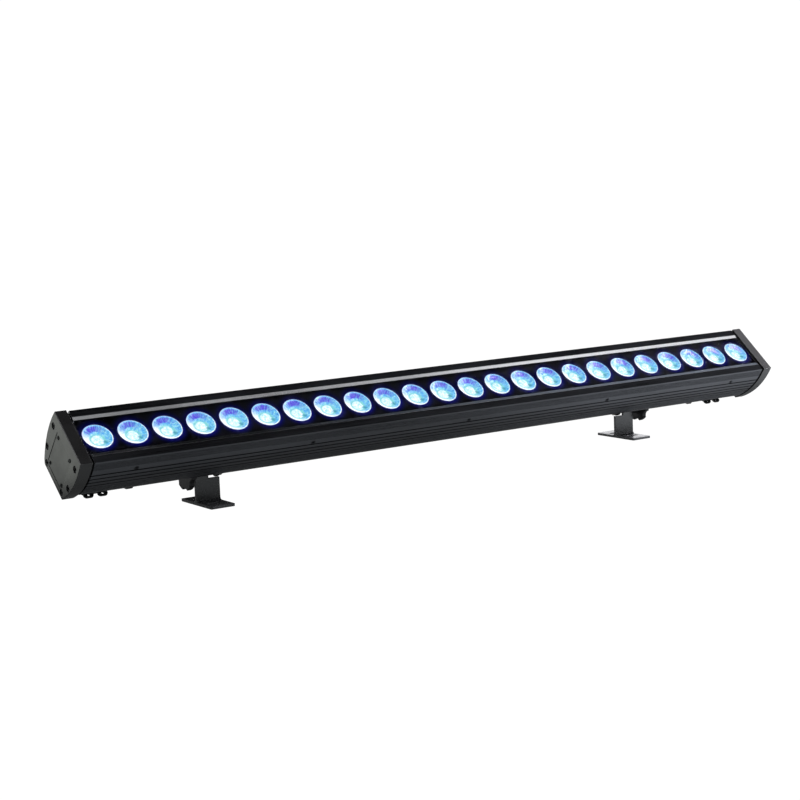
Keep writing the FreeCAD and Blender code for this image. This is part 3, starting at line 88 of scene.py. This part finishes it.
class Graph:
    """A node tree that is built up by short calls."""

    def __init__(self, tree):
        self.tree = tree

    def feed(self, socket, value):
        if isinstance(value, bpy.types.NodeSocket):
            self.tree.links.new(value, socket)
        elif isinstance(value, tuple) and len(value) == 3 and socket.type == "RGBA":
            socket.default_value = (*value, 1.0)
        else:
            socket.default_value = value

    def node(self, kind, **settings):
        made = self.tree.nodes.new("ShaderNode" + kind)
        for key, value in settings.items():
            setattr(made, key, value)
        return made

    def place(self):
        return self.node("TexCoord").outputs["Object"]

    def calc(self, operation, *values):
        made = self.node("Math", operation=operation)
        for socket, value in zip(made.inputs, values):
            self.feed(socket, value)
        return made.outputs[0]

    def product(self, first, *others):
        for other in others:
            first = self.calc("MULTIPLY", first, other)
        return first

    def length(self, first, second):
        """Length of the flat vector with these two components."""
        squares = self.product(first, first), self.product(second, second)
        return self.calc("SQRT", self.calc("ADD", *squares))

    def dot(self, vector, direction):
        made = self.node("VectorMath", operation="DOT_PRODUCT")
        self.feed(made.inputs[0], vector)
        made.inputs[1].default_value = direction
        return made.outputs["Value"]

    def joined(self, *values):
        made = self.node("CombineXYZ")
        for socket, value in zip(made.inputs, values):
            self.feed(socket, value)
        return made.outputs[0]

    def stretched(self, vector, scale):
        made = self.node("Mapping")
        self.feed(made.inputs["Vector"], vector)
        made.inputs["Scale"].default_value = scale
        return made.outputs[0]

    def noise(self, vector, scale, detail=3.0, roughness=0.5):
        made = self.node("TexNoise")
        self.feed(made.inputs["Vector"], vector)
        made.inputs["Scale"].default_value = scale
        made.inputs["Detail"].default_value = detail
        made.inputs["Roughness"].default_value = roughness
        return made.outputs["Fac"]

    def span(self, value, low, high, to_low=0.0, to_high=1.0, smooth=False):
        made = self.node("MapRange", interpolation_type="SMOOTHSTEP" if smooth else "LINEAR")
        for key, number in (("Value", value), ("From Min", low), ("From Max", high),
                            ("To Min", to_low), ("To Max", to_high)):
            self.feed(made.inputs[key], number)
        return made.outputs[0]

    def mix(self, share, first, second):
        made = self.node("Mix", data_type="RGBA")
        self.feed(made.inputs[0], share)
        self.feed(made.inputs[6], first)
        self.feed(made.inputs[7], second)
        return made.outputs[2]

    def bump(self, height, distance, strength=1.0, over=None):
        made = self.node("Bump")
        made.inputs["Strength"].default_value = strength
        made.inputs["Distance"].default_value = distance
        self.feed(made.inputs["Height"], height)
        if over is not None:
            self.feed(made.inputs["Normal"], over)
        return made.outputs[0]

    def soft_edges(self, radius):
        made = self.node("Bevel", samples=4)
        made.inputs["Radius"].default_value = radius
        return made.outputs[0]

    def edge_share(self, rounded):
        """1 where the rounded normal leaves the true one, at worn edges."""
        facing = self.node("VectorMath", operation="DOT_PRODUCT")
        self.feed(facing.inputs[0], rounded)
        self.feed(facing.inputs[1], self.node("NewGeometry").outputs["Normal"])
        return self.span(facing.outputs["Value"], 0.995, 0.90, smooth=True)


class Shader(Graph):
    """A node material with a Principled shader."""

    def __init__(self, name, **sockets):
        self.material = bpy.data.materials.new(name)
        self.material.use_nodes = True
        super().__init__(self.material.node_tree)
        self.surface = self.tree.nodes["Principled BSDF"]
        for socket, value in sockets.items():
            self.set(socket.replace("_", " "), value)

    def set(self, socket, value):
        self.feed(self.surface.inputs[socket], value)

    def glow(self, colour):
        self.set("Emission Color", colour)
        self.surface.inputs["Emission Strength"].default_value = 1.0


def scaled(colour, share):
    """The same hue, lighter or darker."""
    return tuple(part * share for part in colour)


def extruded(name, colour, roughness, worn, streak=0.06, edge=0.35 * MM):
    """Anodised aluminium extrusion: fine die lines along the batten, slightly worn edges."""
    s = Shader(name, Metallic=1.0)
    where = s.place()
    lines = s.noise(s.stretched(where, (4.0, 2600.0, 2600.0)), 1.0, 2.0)
    broad = s.noise(s.stretched(where, (9.0, 60.0, 60.0)), 1.0, 3.0)
    specks = s.noise(where, 900.0, 2.0)
    rounded = s.soft_edges(edge)
    rough = s.calc("ADD", s.span(lines, 0.3, 0.7, roughness - streak, roughness + streak),
                   s.span(broad, 0.3, 0.7, -0.05, 0.06))
    tone = s.mix(s.span(broad, 0.35, 0.7), colour, scaled(colour, 1.35))
    tone = s.mix(s.product(s.edge_share(rounded), s.span(specks, 0.35, 0.6, 0.25, 0.8)),
                 tone, worn)
    s.set("Base Color", tone)
    s.set("Roughness", rough)
    grain = s.calc("ADD", s.product(lines, 0.8), s.product(specks, 0.35))
    s.set("Normal", s.bump(grain, 0.02 * MM, 0.55, rounded))
    return s.material


def powder(name, colour, roughness, worn, grain=0.03 * MM, edge=0.4 * MM, gloss=0.5):
    """Powder-coated metal: an orange-peel skin, fine grit and rubbed corners."""
    s = Shader(name, Specular_IOR_Level=gloss)
    where = s.place()
    peel = s.noise(where, 700.0, 2.0)
    grit = s.noise(where, 2600.0, 2.0)
    cloud = s.noise(where, 28.0, 4.0, 0.6)
    rounded = s.soft_edges(edge)
    tone = s.mix(s.span(cloud, 0.35, 0.7), colour, scaled(colour, 1.25))
    tone = s.mix(s.product(s.edge_share(rounded), s.span(peel, 0.4, 0.6, 0.2, 0.75)),
                 tone, worn)
    s.set("Base Color", tone)
    s.set("Roughness", s.span(cloud, 0.3, 0.7, roughness - 0.06, roughness + 0.07))
    height = s.calc("ADD", s.product(peel, 0.7), s.product(grit, 0.3))
    s.set("Normal", s.bump(height, grain, 0.6, rounded))
    return s.material


def moulded(name, colour, roughness, grain=0.03 * MM, edge=0.3 * MM):
    """Moulded plastic or rubber with a fine spark-eroded texture and faint flow marks."""
    s = Shader(name, Specular_IOR_Level=0.45)
    where = s.place()
    texture = s.noise(where, 1800.0, 3.0, 0.6)
    flow = s.noise(s.stretched(where, (1.0, 1.6, 0.7)), 45.0, 3.0)
    s.set("Base Color", s.mix(s.span(flow, 0.3, 0.7), colour, scaled(colour, 1.3)))
    s.set("Roughness", s.span(flow, 0.3, 0.7, roughness - 0.05, roughness + 0.06))
    s.set("Normal", s.bump(texture, grain, 0.5, s.soft_edges(edge)))
    return s.material


def bare_metal(name, colour, roughness, lay=(1.0, 1.0, 1.0), scale=1500.0, edge=0.15 * MM):
    """Plated or turned metal: metallic, with fine tool marks and duller patches."""
    s = Shader(name, Metallic=1.0)
    where = s.place()
    marks = s.noise(s.stretched(where, lay), scale, 2.0)
    patch = s.noise(where, 120.0, 3.0)
    s.set("Base Color", s.mix(s.span(patch, 0.35, 0.7), colour, scaled(colour, 0.8)))
    s.set("Roughness", s.span(marks, 0.3, 0.7, roughness - 0.06, roughness + 0.08))
    s.set("Normal", s.bump(marks, 0.01 * MM, 0.5, s.soft_edges(edge)))
    return s.material


def circuit(name, colour, copper):
    """A circuit board: solder mask with tracks that show as slightly lighter lines."""
    s = Shader(name, Roughness=0.35)
    where = s.place()
    tracks = s.node("TexBrick", offset=0.5)
    tracks.inputs["Scale"].default_value = 260.0
    tracks.inputs["Mortar Size"].default_value = 0.06
    s.feed(tracks.inputs["Vector"], where)
    shade = s.noise(where, 60.0, 2.0)
    base = s.mix(s.span(shade, 0.3, 0.7), colour, scaled(colour, 1.2))
    s.set("Base Color", s.mix(s.product(tracks.outputs["Fac"], 0.5), base, copper))
    s.set("Normal", s.bump(tracks.outputs["Fac"], 0.03 * MM, 0.4))
    return s.material


def in_lens(s):
    """Where a point is in its lens (reach from the centre, with the lens radius as 1, and
    angle), the number of that lens and its share of the way along the row."""
    where = s.place()
    along = s.dot(where, ALONG)
    across = s.calc("SUBTRACT", s.calc("WRAP", along, LENS_PITCH, 0.0), LENS_PITCH / 2)
    up = s.calc("SUBTRACT", s.dot(where, UP_FACE), LENS_UP)
    reach = s.calc("DIVIDE", s.length(across, up), LENS_RADIUS)
    number = s.calc("FLOOR", s.calc("DIVIDE", along, LENS_PITCH))
    row = s.span(along, -ROW_HALF, ROW_HALF)
    return reach, s.calc("ARCTAN2", up, across), number, row


def toward(s, angle, heading, sharpness):
    """1 on the side of a lens that faces a heading, falling to 0 round it."""
    facing = s.calc("MAXIMUM", s.calc("COSINE", s.calc("SUBTRACT", angle, heading)), 0.0)
    return s.calc("POWER", facing, sharpness)


def lit_lens():
    """The lit collimator lens: cyan light with a violet patch and a white side, cut by facets."""
    s = Shader("lit_lens", Base_Color=(0.01, 0.015, 0.03), Roughness=0.15)
    reach, angle, number, row = in_lens(s)
    across = s.product(s.calc("COSINE", angle), reach)
    up = s.product(s.calc("SINE", angle), reach)
    own = s.product(number, 5.3)
    fineness = 4.6               # of the streaks round a lens; more is finer
    rays = s.joined(s.product(s.calc("COSINE", angle), fineness),
                    s.product(s.calc("SINE", angle), fineness),
                    s.calc("ADD", own, s.product(reach, 1.1)))
    streaks = s.noise(rays, 2.1, 3.0, 0.75)
    cells = s.noise(s.joined(s.calc("ADD", across, own), up, 0.0), 5.5, 3.0, 0.7)
    sky, cyan, pale = (0.08, 0.36, 0.90), (0.16, 0.66, 1.0), (0.48, 0.96, 1.0)
    violet, navy, white = (0.10, 0.055, 0.78), (0.02, 0.10, 0.42), (1.25, 1.3, 1.35)
    mint, teal = (0.30, 0.80, 0.76), (0.03, 0.30, 0.46)

    colour = s.mix(s.span(streaks, 0.36, 0.60), sky, cyan)
    colour = s.mix(s.span(cells, 0.44, 0.62, 0.0, 0.9), colour, pale)
    heading = s.span(row, 0.0, 1.0, math.radians(102), math.radians(52))
    ring = s.product(s.span(reach, 0.46, 0.60, smooth=True),
                     s.span(reach, 0.93, 0.84, smooth=True))
    patch = s.product(toward(s, angle, heading, 2.4), ring, s.span(streaks, 0.34, 0.62, 1.7, 0.5))
    colour = s.mix(s.calc("MINIMUM", patch, 1.0), colour, violet)
    pits = s.product(s.span(s.noise(rays, 4.3, 2.0), 0.56, 0.66),
                     s.span(reach, 0.66, 0.78), s.span(reach, 0.93, 0.86))
    colour = s.mix(s.product(pits, 0.75), colour, navy)
    glow_heading = s.span(row, 0.0, 1.0, math.radians(222), math.radians(214))
    bright = s.product(toward(s, angle, glow_heading, 2.2), s.span(reach, 0.34, 0.60, smooth=True),
                       s.span(cells, 0.32, 0.62, 1.1, 2.2))
    colour = s.mix(s.calc("MINIMUM", bright, 1.0), colour, white)

    # the emitter's image sits low in the lens, inside a mint ring
    low_x, low_y = s.calc("SUBTRACT", across, -0.03), s.calc("SUBTRACT", up, -0.20)
    image = s.length(low_x, low_y)
    halo = s.product(s.span(image, 0.62, 0.50, smooth=True), s.span(cells, 0.3, 0.6, 0.6, 1.0))
    colour = s.mix(halo, colour, mint)
    colour = s.mix(s.span(image, 0.46, 0.36, smooth=True), colour,
                   s.mix(s.span(cells, 0.40, 0.60), pale, white))
    slit = s.product(toward(s, angle, math.radians(-47), 40.0),
                     s.span(reach, 0.40, 0.48), s.span(reach, 0.80, 0.68))
    colour = s.mix(s.product(slit, 0.8), colour, teal)
    edge_glow = s.product(s.span(reach, 0.925, 0.955, smooth=True),
                          s.span(s.noise(rays, 1.1, 1.0), 0.35, 0.55, 0.35, 1.0))
    edge_tone = s.mix(toward(s, angle, heading, 0.7), white, (0.55, 0.70, 1.2))
    colour = s.mix(edge_glow, colour, edge_tone)
    s.glow(colour)
    return s.material


def masked():
    """The black sheet behind the window, with a painted blue glow round each lit lens: emission
    standing in for the light the lenses spill onto it.
    """
    s = Shader("mask_black", Base_Color=(0.002, 0.002, 0.004), Roughness=0.8,
               Specular_IOR_Level=0.1)
    reach, angle = in_lens(s)[:2]
    near = s.calc("POWER", s.span(reach, 1.50, 1.0), 2.2)
    side = s.span(toward(s, angle, math.radians(-70), 1.0), 0.0, 1.0, 0.35, 1.0)
    mottle = s.span(s.noise(s.place(), 420.0, 2.0), 0.3, 0.7, 0.6, 1.2)
    # painted glow: the lenses' blue spill is emission on the mask, strongest next to each lens
    painted_lens_glow = s.product(near, side, mottle)
    s.glow(s.mix(painted_lens_glow, (0.0, 0.0, 0.0), (0.002, 0.004, 0.20)))
    s.set("Normal", s.bump(s.noise(s.place(), 900.0), 0.02 * MM, 0.4))
    return s.material


def window():
    """The clear cover in front of the lenses."""
    s = Shader("window_clear", Base_Color=(0.93, 0.96, 1.0), Transmission_Weight=1.0, IOR=1.46)
    smear = s.noise(s.stretched(s.place(), (3.0, 14.0, 14.0)), 4.0, 4.0, 0.6)
    s.set("Roughness", s.span(smear, 0.3, 0.75, 0.0, 0.05))
    return s.material


def display():
    """The small dark readout, with faint unlit segments under a glossy face."""
    s = Shader("display_dark", Roughness=0.08, Coat_Weight=1.0, Coat_Roughness=0.03)
    where = s.place()
    cells = s.node("TexBrick", offset=0.0)
    cells.inputs["Scale"].default_value = 120.0
    cells.inputs["Mortar Size"].default_value = 0.05
    s.feed(cells.inputs["Vector"], where)
    s.set("Base Color", s.mix(cells.outputs["Fac"], (0.012, 0.014, 0.018), (0.03, 0.035, 0.04)))
    return s.material


def emitter():
    """The LED package and its dome, lit blue."""
    s = Shader("emitter", Base_Color=(0.6, 0.55, 0.2), Roughness=0.4)
    s.glow(s.mix(s.span(s.noise(s.place(), 400.0), 0.3, 0.7), (0.1, 0.2, 1.0), (0.25, 0.5, 1.0)))
    return s.material


SLOTS = {
    "housing_black": lambda: extruded("housing_black", (0.070, 0.073, 0.080), 0.32,
                                      (0.20, 0.205, 0.22)),
    "cap_grey": lambda: powder("cap_grey", (0.009, 0.009, 0.009), 0.28, (0.22, 0.22, 0.225)),
    "cover_grey": lambda: powder("cover_grey", (0.008, 0.009, 0.008), 0.32, (0.10, 0.105, 0.11)),
    "strip_bright": lambda: extruded("strip_bright", (0.60, 0.61, 0.62), 0.22,
                                     (0.7, 0.7, 0.7)),
    "gasket_rubber": lambda: moulded("gasket_rubber", (0.006, 0.006, 0.006), 0.7),
    "window_clear": window,
    "mask_black": masked,
    "lens_clear": lit_lens,
    "holder_black": lambda: moulded("holder_black", (0.012, 0.012, 0.013), 0.5),
    "emitter": emitter,
    "board_white": lambda: circuit("board_white", (0.70, 0.71, 0.70), (0.45, 0.36, 0.22)),
    "circuit_green": lambda: circuit("circuit_green", (0.012, 0.10, 0.035), (0.05, 0.22, 0.08)),
    "supply_metal": lambda: bare_metal("supply_metal", (0.55, 0.56, 0.57), 0.38),
    "screw_black": lambda: bare_metal("screw_black", (0.035, 0.036, 0.04), 0.34),
    "screw_zinc": lambda: bare_metal("screw_zinc", (0.55, 0.54, 0.50), 0.30),
    "bracket_black": lambda: powder("bracket_black", (0.008, 0.0085, 0.009), 0.36,
                                    (0.06, 0.06, 0.063)),
    "foot_black": lambda: powder("foot_black", (0.024, 0.025, 0.026), 0.24, (0.20, 0.205, 0.21),
                                 gloss=0.9),
    "plate_black": lambda: powder("plate_black", (0.006, 0.0065, 0.007), 0.38,
                                  (0.05, 0.05, 0.053)),
    "socket_black": lambda: moulded("socket_black", (0.014, 0.014, 0.016), 0.42),
    "panel_black": lambda: powder("panel_black", (0.014, 0.015, 0.017), 0.36,
                                  (0.12, 0.12, 0.13)),
    "display_dark": display,
    "button_grey": lambda: moulded("button_grey", (0.16, 0.165, 0.17), 0.45),
    "knob_black": lambda: moulded("knob_black", (0.010, 0.010, 0.011), 0.40, 0.05 * MM),
    "insert_brass": lambda: bare_metal("insert_brass", (0.60, 0.42, 0.16), 0.28),
}


def dress_nodes():
    """Gives every CAD node the node material of its slot in the record."""
    made = {}
    for row in frame["record"]["subparts"]:
        slot = row["material_slot"]
        if slot not in made:
            made[slot] = SLOTS[slot]()
        mesh = nodes[row["node"]].data
        mesh.materials.clear()
        mesh.materials.append(made[slot])
    return made


# ---------------------------------------------------------------- the lenses

FACETS = 30                  # moulded ribs round a lens
STEPS_PER_FACET = 4
RIB_DEPTH = 0.35 * MM
DISH_DEPTH = 3.2 * MM
CENTRE_RISE = 0.1 * MM       # how far the middle of the centre dome stands above its first ring


def lens_section():
    """Radius, height above the rim plane and share of the ribs, from the centre outwards."""
    r = LENS_RADIUS
    floor = -DISH_DEPTH
    cone = LENS_BACK - LENS_FRONT
    dome = [(0.10 * r, floor + 0.9 * MM, 0.0), (0.22 * r, floor + 0.7 * MM, 0.0),
            (0.33 * r, floor + 0.2 * MM, 0.0)]
    groove = [(0.37 * r, floor - 0.5 * MM, 0.0), (0.41 * r, floor - 0.5 * MM, 0.0)]
    dish = [(0.45 * r, floor + 0.5 * MM, 0.15), (0.55 * r, floor + 0.7 * MM, 1.0),
            (0.68 * r, 0.62 * floor, 1.0), (0.80 * r, 0.38 * floor, 1.0),
            (0.90 * r, 0.16 * floor, 0.9)]
    rim = [(0.935 * r, -0.02 * MM, 0.0), (0.97 * r, 0.0, 0.0), (r, -0.35 * MM, 0.0),
           (r, -1.6 * MM, 0.0), (0.94 * r, -2.4 * MM, 0.0)]
    back = [(0.72 * r, 0.45 * cone, 0.0), (0.42 * r, 0.97 * cone, 0.0),
            (0.20 * r, 0.97 * cone, 0.0), (0.16 * r, 0.60 * cone, 0.0)]
    return dome + groove + dish + rim + back


def add_lens(mesh, centre):
    """One closed lens, ribbed on the dish of its front and coned behind."""
    count = FACETS * STEPS_PER_FACET
    section = lens_section()
    rings = []
    for radius, height, ribs in section:
        ring = []
        for step in range(count):
            turn = 2 * math.pi * step / count
            wave = math.cos(2 * math.pi * step / STEPS_PER_FACET) * ribs * RIB_DEPTH / 2
            ring.append(mesh.verts.new(on_face(centre + radius * math.cos(turn),
                                               LENS_UP + radius * math.sin(turn),
                                               LENS_FRONT + height + wave)))
        rings.append(ring)
    for inner, outer in zip(rings, rings[1:]):
        for step in range(count):
            after = (step + 1) % count
            mesh.faces.new((inner[step], outer[step], outer[after], inner[after]))
    front = mesh.verts.new(on_face(centre, LENS_UP, LENS_FRONT + section[0][1] + CENTRE_RISE))
    back = mesh.verts.new(on_face(centre, LENS_UP, LENS_FRONT + section[-1][1]))
    for step in range(count):
        after = (step + 1) % count
        mesh.faces.new((front, rings[0][step], rings[0][after]))
        mesh.faces.new((back, rings[-1][after], rings[-1][step]))


def make_lenses(material):
    """The row of moulded lenses in front of the emitters."""
    built = bmesh.new()
    for index in range(LENS_COUNT):
        add_lens(built, (index - (LENS_COUNT - 1) / 2) * LENS_PITCH)
    bmesh.ops.recalc_face_normals(built, faces=built.faces)
    mesh = bpy.data.meshes.new("moulded_lenses")
    built.to_mesh(mesh)
    built.free()
    for face in mesh.polygons:
        face.use_smooth = True
    mesh.materials.append(material)
    piece = bpy.data.objects.new("moulded_lenses", mesh)
    bpy.context.scene.collection.objects.link(piece)
    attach(piece, "housing")
    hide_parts("lenses")


# ---------------------------------------------------------------- stage, light, camera

FLOOR_RADIUS = 4.0
DOME_RADIUS = 12.0
CARD_DROP = 1 * MM           # the card lies this far under the floor
WHITE_LEVEL = 1.05           # a little over 1, so that it stays white in the picture
BASE_LEVEL = 0.005           # light from the parts of the sky between the panels


def plain_emission(name, colour, strength):
    """A flat, self-lit material."""
    material = bpy.data.materials.new(name)
    material.use_nodes = True
    tree = material.node_tree
    tree.nodes.clear()
    glow = tree.nodes.new("ShaderNodeEmission")
    glow.inputs["Color"].default_value = (*colour, 1.0)
    glow.inputs["Strength"].default_value = strength
    out = tree.nodes.new("ShaderNodeOutputMaterial")
    tree.links.new(glow.outputs[0], out.inputs[0])
    return material


def make_stage():
    """A white floor and dome that only the camera sees, and the card that shows in the gloss."""
    white = plain_emission("studio_white", (1.0, 1.0, 1.0), WHITE_LEVEL)
    bpy.ops.mesh.primitive_circle_add(vertices=96, radius=FLOOR_RADIUS, fill_type="NGON")
    floor = bpy.context.object
    floor.name = "studio_floor"
    bpy.ops.mesh.primitive_uv_sphere_add(segments=64, ring_count=32, radius=DOME_RADIUS)
    dome = bpy.context.object
    dome.name = "studio_dome"
    for piece in (floor, dome):
        piece.data.materials.append(white)
        piece.visible_diffuse = piece.visible_glossy = piece.visible_transmission = False
        piece.visible_shadow = False

    card = Shader("floor_card", Base_Color=(0.0, 0.0, 0.0), Roughness=1.0, Specular_IOR_Level=0.0)
    where = card.node("NewGeometry").outputs["Position"]
    x, y = card.dot(where, (1, 0, 0)), card.dot(where, (0, 1, 0))
    right = card.span(x, -0.10, 0.50, 0.0, 1.0, smooth=True)
    behind = card.product(card.span(y, 0.16, 0.34, smooth=True),
                          card.span(x, -0.45, -0.62, smooth=True))
    tone = card.mix(right, (0.40, 0.42, 0.43), (1.15, 1.20, 1.27))
    # painted shadow: the card goes dark from just in front of the batten backwards, as the
    # batten's shadow on the floor would look in the gloss
    tone = card.mix(card.span(y, -0.11, -0.02, 0.0, 0.85, smooth=True), tone, (0.05, 0.05, 0.05))
    card.glow(card.mix(behind, tone, (1.00, 1.05, 0.98)))
    bpy.ops.mesh.primitive_circle_add(vertices=64, radius=FLOOR_RADIUS, fill_type="NGON",
                                      location=(0, 0, -CARD_DROP))
    mirrored = bpy.context.object
    mirrored.name = "floor_card"
    mirrored.data.materials.append(card.material)
    mirrored.visible_camera = mirrored.visible_shadow = False


def make_world():
    """Soft studio light as a sky of broad panels, each given by the directions that it fills."""
    world = bpy.data.worlds.new("studio")
    world.use_nodes = True
    s = Graph(world.node_tree)
    heading = s.node("TexCoord").outputs["Generated"]
    x, y, z = (s.dot(heading, axis) for axis in ((1, 0, 0), (0, 1, 0), (0, 0, 1)))

    def panel(strength, *sides):
        """A lit part of the sky; each side fades in from the first to the second number."""
        return s.product(strength, *(s.span(*side, smooth=True) for side in sides))

    key = panel(1.45, (x, 0.52, 0.64), (x, 0.84, 0.68), (y, -0.08, -0.20), (z, 0.25, 0.50))
    rear_key = panel(0.30, (x, 0.50, 0.72), (y, 0.08, 0.22), (z, 0.25, 0.55))
    top_front = panel(0.36, (x, 0.54, 0.42), (y, -0.16, -0.28), (z, 0.55, 0.80))
    top_left = panel(5.0, (x, -0.45, -0.60), (y, -0.26, -0.12), (y, 0.26, 0.12), (z, 0.50, 0.70))
    behind = panel(1.0, (x, 0.25, 0.0), (y, 0.10, 0.45), (z, 0.36, 0.20))
    behind_right = panel(1.9, (x, 0.50, 0.62), (y, 0.10, 0.45), (z, 0.36, 0.20))
    level = BASE_LEVEL
    for part in (key, top_front, top_left, behind, behind_right):
        level = s.calc("ADD", level, part)
    back = world.node_tree.nodes["Background"]
    cool = s.mix(rear_key, (0.0, 0.0, 0.0), (0.80, 0.90, 1.10))
    whole = s.node("VectorMath", operation="ADD")
    s.feed(whole.inputs[0], s.joined(level, level, s.product(level, 1.03)))
    s.feed(whole.inputs[1], cool)
    s.feed(back.inputs["Color"], whole.outputs[0])
    back.inputs["Strength"].default_value = 1.0
    bpy.context.scene.world = world


def softbox(name, place, aim, width, height, power, colour=(1.0, 1.0, 1.0)):
    """A soft area light that neither the camera nor a reflection sees."""
    data = bpy.data.lights.new(name, "AREA")
    data.shape = "RECTANGLE"
    data.size, data.size_y = width, height
    data.energy = power
    data.color = colour
    light = bpy.data.objects.new(name, data)
    light.location = place
    light.rotation_euler = (Vector(aim) - Vector(place)).to_track_quat("-Z", "Y").to_euler()
    light.visible_camera = light.visible_glossy = False
    bpy.context.scene.collection.objects.link(light)


def make_lights():
    """The key from the right front, a weak fill from the left and a light on the right cap."""
    middle = (0.0, 0.0, 0.10)
    softbox("key_right", (2.2, -1.8, 1.6), middle, 1.6, 1.6, 40.0, (0.95, 0.98, 1.0))
    softbox("left_fill", (-2.6, 0.4, 1.2), middle, 1.4, 1.2, 14.0)
    right_end = (cad_high[0], (cad_low[1] + cad_high[1]) / 2, cad_high[2] / 2)
    softbox("end_light", (0.80, -0.42, 0.52), right_end, 0.35, 0.35, 44.0, (1.0, 0.97, 1.03))


# where the camera stands, how it is turned and its lens
CAMERA_PLACE = (-1.230669, -1.710145, 0.371541)
CAMERA_TURN = (82.2273, 2.2004, -35.0322)      # degrees
CAMERA_LENS = 78.83                            # millimetres, on the sensor below
SENSOR_WIDTH = 36.0


def make_camera():
    data = bpy.data.cameras.new("camera")
    data.lens = CAMERA_LENS
    data.sensor_width = SENSOR_WIDTH
    data.clip_start, data.clip_end = 0.05, 60.0
    camera = bpy.data.objects.new("camera", data)
    camera.location = CAMERA_PLACE
    camera.rotation_euler = [math.radians(angle) for angle in CAMERA_TURN]
    bpy.context.scene.collection.objects.link(camera)
    bpy.context.scene.camera = camera


materials = dress_nodes()
make_lenses(materials["lens_clear"])
make_stage()
make_world()
make_lights()
make_camera()
bpy.context.scene.view_settings.view_transform = "Standard"
